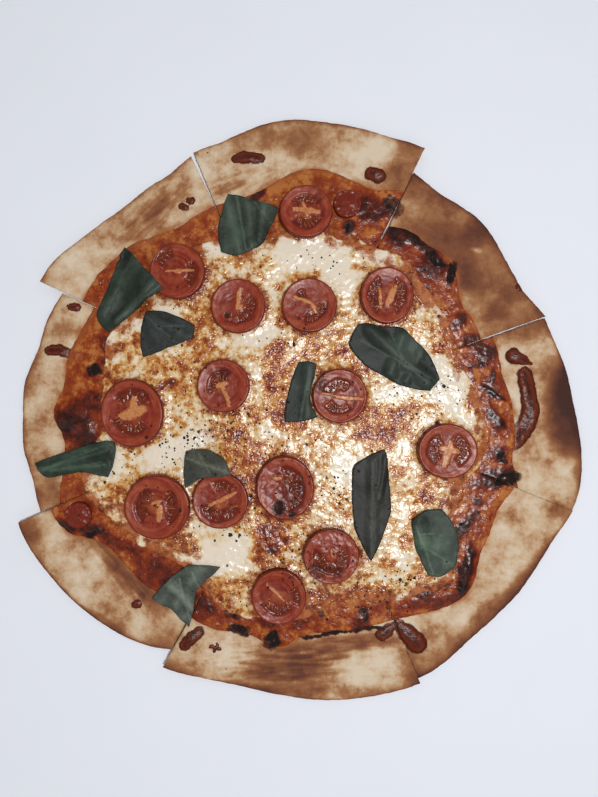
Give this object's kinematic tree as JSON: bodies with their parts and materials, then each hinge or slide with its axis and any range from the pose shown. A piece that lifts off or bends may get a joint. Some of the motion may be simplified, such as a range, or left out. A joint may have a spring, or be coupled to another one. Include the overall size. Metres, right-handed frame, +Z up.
{
  "type": "pizza",
  "caption": "Thin-crust pizza cut into slices that still lie together, with tomato sauce, melted cheese, baked cherry tomato halves and basil leaves.",
  "frame": {"origin": "on the surface the pizza lies on, under the middle of its outline", "axes": "+Z up out of the topping, +Y towards the far side when seen from the table, the longest way across, +X to the right"},
  "size_m": [0.2809, 0.2905, 0.0125],
  "materials": {
    "crust": "baked dough, toasted brown in patches, dull",
    "sauce": "baked tomato sauce, orange to charred, moist",
    "cheese": "melted cheese, cream with browned spots, oily",
    "tomato": "baked cherry tomato, wet cut face",
    "basil": "dark basil leaf, slightly waxy"
  },
  "bodies": {
    "root": {"crust_top": "crust", "crust_upper_right": "crust", "crust_right": "crust", "crust_lower_right": "crust", "crust_bottom": "crust", "crust_lower_left": "crust", "crust_left": "crust", "crust_upper_left": "crust", "sauce_top": "sauce", "sauce_upper_right": "sauce", "sauce_right": "sauce", "sauce_lower_right": "sauce", "sauce_bottom": "sauce", "sauce_lower_left": "sauce", "sauce_left": "sauce", "sauce_upper_left": "sauce", "cheese": "cheese", "tomato_01": "tomato", "tomato_02": "tomato", "tomato_03": "tomato", "tomato_04": "tomato", "tomato_05": "tomato", "tomato_06": "tomato", "tomato_07": "tomato", "tomato_08": "tomato", "tomato_09": "tomato", "tomato_10": "tomato", "tomato_11": "tomato", "tomato_12": "tomato", "tomato_13": "tomato", "tomato_14": "tomato", "tomato_end_1": "tomato", "tomato_end_2": "tomato", "basil_top": "basil", "basil_upper_left": "basil", "basil_inner_left": "basil", "basil_left": "basil", "basil_lower_left": "basil", "basil_middle": "basil", "basil_upper_right": "basil", "basil_long": "basil", "basil_lower_right": "basil", "basil_bottom": "basil"}
  },
  "joints": []
}
